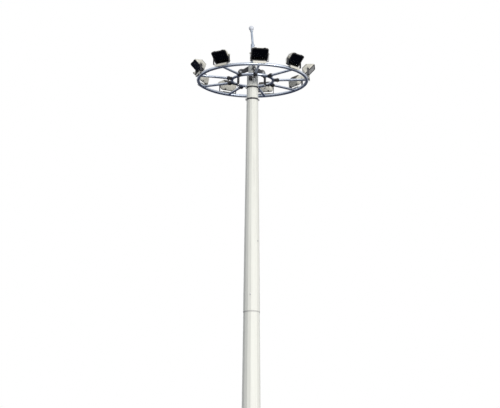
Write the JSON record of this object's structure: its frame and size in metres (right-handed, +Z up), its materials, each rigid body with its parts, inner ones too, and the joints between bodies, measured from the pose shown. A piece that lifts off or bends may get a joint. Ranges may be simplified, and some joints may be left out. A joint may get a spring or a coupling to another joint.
{
  "type": "high mast floodlight tower",
  "caption": "Tall tapered polygonal steel mast with a rope-hoisted lantern ring of tilting floodlights and a ball-tipped lightning rod.",
  "frame": {"origin": "centre of the anchor circle on the underside of the base flange", "axes": "+Z up the mast, -Y towards the access door and the first floodlight, +X to its right"},
  "size_m": [3.0778, 3.0333, 19.318],
  "materials": {
    "shaft_paint": "satin",
    "galvanised": "satin",
    "dark_steel": "satin",
    "pulley_iron": "matte",
    "rope_steel": "satin",
    "rod_steel": "satin",
    "box_plastic": "matte",
    "ring_steel": "satin",
    "seat_paint": "satin",
    "lamp_housing": "satin",
    "lamp_frame": "satin",
    "lamp_glass": "gloss",
    "lamp_reflector": "polished"
  },
  "bodies": {
    "mast": {"base_flange": "galvanised", "base_gussets": "galvanised", "lower_section": "shaft_paint", "middle_section": "shaft_paint", "top_section": "shaft_paint", "door_frame": "shaft_paint", "access_door": "shaft_paint", "head_bands": "dark_steel", "head_column": "shaft_paint", "pulley_arms": "dark_steel", "pulleys": "pulley_iron", "head_ropes": "rope_steel", "rod_socket": "galvanised", "lightning_rod": "rod_steel", "cable_box": "box_plastic"},
    "carriage": {"outer_ring": "ring_steel", "inner_ring": "ring_steel", "spokes": "ring_steel", "spoke_collars": "dark_steel", "lamp_seats": "seat_paint", "yokes": "seat_paint", "rope_lugs": "dark_steel", "hoist_ropes": "rope_steel"},
    "lamp_1": {"lamp_1_housing": "lamp_housing", "lamp_1_frame": "lamp_frame", "lamp_1_glass": "lamp_glass", "lamp_1_reflector": "lamp_reflector"},
    "lamp_2": {"lamp_2_housing": "lamp_housing", "lamp_2_frame": "lamp_frame", "lamp_2_glass": "lamp_glass", "lamp_2_reflector": "lamp_reflector"},
    "lamp_3": {"lamp_3_housing": "lamp_housing", "lamp_3_frame": "lamp_frame", "lamp_3_glass": "lamp_glass", "lamp_3_reflector": "lamp_reflector"},
    "lamp_4": {"lamp_4_housing": "lamp_housing", "lamp_4_frame": "lamp_frame", "lamp_4_glass": "lamp_glass", "lamp_4_reflector": "lamp_reflector"},
    "lamp_5": {"lamp_5_housing": "lamp_housing", "lamp_5_frame": "lamp_frame", "lamp_5_glass": "lamp_glass", "lamp_5_reflector": "lamp_reflector"},
    "lamp_6": {"lamp_6_housing": "lamp_housing", "lamp_6_frame": "lamp_frame", "lamp_6_glass": "lamp_glass", "lamp_6_reflector": "lamp_reflector"},
    "lamp_7": {"lamp_7_housing": "lamp_housing", "lamp_7_frame": "lamp_frame", "lamp_7_glass": "lamp_glass", "lamp_7_reflector": "lamp_reflector"},
    "lamp_8": {"lamp_8_housing": "lamp_housing", "lamp_8_frame": "lamp_frame", "lamp_8_glass": "lamp_glass", "lamp_8_reflector": "lamp_reflector"},
    "lamp_9": {"lamp_9_housing": "lamp_housing", "lamp_9_frame": "lamp_frame", "lamp_9_glass": "lamp_glass", "lamp_9_reflector": "lamp_reflector"}
  },
  "joints": [
    {"name": "carriage_hoist", "type": "slide", "parent": "mast", "child": "carriage", "axis": [0, 0, -1], "range_m": [0, 16.2], "deforming": ["hoist_ropes"]},
    {"name": "lamp_1_tilt", "type": "hinge", "parent": "carriage", "child": "lamp_1", "pos_m": [0, -1.37, 18.16295], "axis": [1, 0, 0], "range_deg": [-34, 26]},
    {"name": "lamp_2_tilt", "type": "hinge", "parent": "carriage", "child": "lamp_2", "pos_m": [0.88062, -1.04948, 18.16295], "axis": [0.766, 0.6428, 0], "range_deg": [-34, 26]},
    {"name": "lamp_3_tilt", "type": "hinge", "parent": "carriage", "child": "lamp_3", "pos_m": [1.34919, -0.2379, 18.16295], "axis": [0.1736, 0.9848, 0], "range_deg": [-34, 26]},
    {"name": "lamp_4_tilt", "type": "hinge", "parent": "carriage", "child": "lamp_4", "pos_m": [1.18646, 0.685, 18.16295], "axis": [-0.5, 0.866, 0], "range_deg": [-34, 26]},
    {"name": "lamp_5_tilt", "type": "hinge", "parent": "carriage", "child": "lamp_5", "pos_m": [0.46857, 1.28738, 18.16295], "axis": [-0.9397, 0.342, 0], "range_deg": [-34, 26]},
    {"name": "lamp_6_tilt", "type": "hinge", "parent": "carriage", "child": "lamp_6", "pos_m": [-0.46857, 1.28738, 18.16295], "axis": [-0.9397, -0.342, 0], "range_deg": [-34, 26]},
    {"name": "lamp_7_tilt", "type": "hinge", "parent": "carriage", "child": "lamp_7", "pos_m": [-1.18646, 0.685, 18.16295], "axis": [-0.5, -0.866, 0], "range_deg": [-34, 26]},
    {"name": "lamp_8_tilt", "type": "hinge", "parent": "carriage", "child": "lamp_8", "pos_m": [-1.34919, -0.2379, 18.16295], "axis": [0.1736, -0.9848, 0], "range_deg": [-34, 26]},
    {"name": "lamp_9_tilt", "type": "hinge", "parent": "carriage", "child": "lamp_9", "pos_m": [-0.88062, -1.04948, 18.16295], "axis": [0.766, -0.6428, 0], "range_deg": [-34, 26]}
  ]
}
